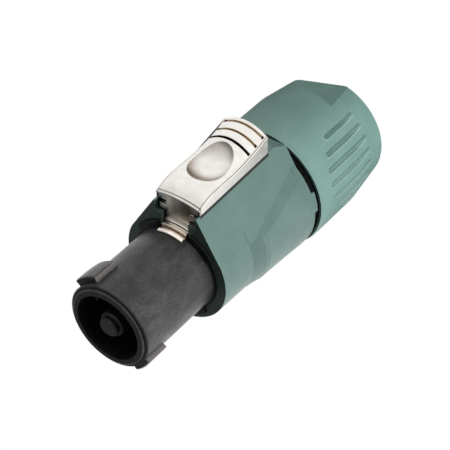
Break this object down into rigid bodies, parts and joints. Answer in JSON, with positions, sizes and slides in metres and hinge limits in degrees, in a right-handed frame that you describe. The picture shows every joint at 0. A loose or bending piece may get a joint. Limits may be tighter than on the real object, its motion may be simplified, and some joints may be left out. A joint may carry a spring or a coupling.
{
  "type": "speaker connector",
  "caption": "Locking loudspeaker cable plug: round keyed nose, faceted green housing with a sprung thumb latch, and a grooved back nut with a cable chuck.",
  "frame": {"origin": "centre of the cable entry in the rear face of the back nut", "axes": "+Z along the axis towards the tip of the nose; the thumb latch faces -Y; the part stands on its rear face"},
  "size_m": [0.0288, 0.0364, 0.0774],
  "materials": {
    "green_housing": "satin moulded plastic, grey green",
    "green_nut": "satin moulded plastic, grey green",
    "black_plastic": "satin black glass-filled plastic",
    "black_core": "black plastic",
    "chuck_plastic": "black plastic",
    "latch_metal": "pale satin die-cast metal",
    "tongue_steel": "plain spring steel",
    "spring_steel": "bright spring wire",
    "seal_rubber": "black rubber",
    "contact_brass": "plated copper alloy",
    "clamp_brass": "nickel-plated brass",
    "screw_steel": "plated steel"
  },
  "bodies": {
    "housing_body": {"housing": "green_housing", "nose_insert": "black_plastic", "contact_carrier": "black_core", "latch_spring": "spring_steel", "seal_ring": "seal_rubber", "contact_left": "contact_brass", "contact_right": "contact_brass", "contact_front": "contact_brass", "contact_back": "contact_brass", "clamp_left": "clamp_brass", "clamp_right": "clamp_brass", "clamp_front": "clamp_brass", "clamp_back": "clamp_brass", "screw_left": "screw_steel", "screw_right": "screw_steel", "screw_front": "screw_steel", "screw_back": "screw_steel"},
    "latch": {"latch_button": "latch_metal", "latch_tongue": "tongue_steel"},
    "chuck": {"cable_chuck": "chuck_plastic"},
    "nut": {"back_nut": "green_nut"}
  },
  "joints": [
    {"name": "latch_slide", "type": "slide", "parent": "housing_body", "child": "latch", "axis": [0, 0, -1], "range_m": [0, 0.0025], "stiffness_N_per_m": 600, "springref_m": -0.002, "deforming": ["latch_spring"]},
    {"name": "chuck_slide", "type": "slide", "parent": "housing_body", "child": "chuck", "axis": [0, 0, -1], "range_m": [0, 0.0065]},
    {"name": "nut_turn", "type": "hinge", "parent": "chuck", "child": "nut", "pos_m": [0, 0, 0], "axis": [0, 0, -1], "range_deg": [0, 1170]}
  ],
  "couplings": [
    {"joint": "chuck_slide", "follows": "nut_turn", "m_per_rad": 0.0003183}
  ]
}
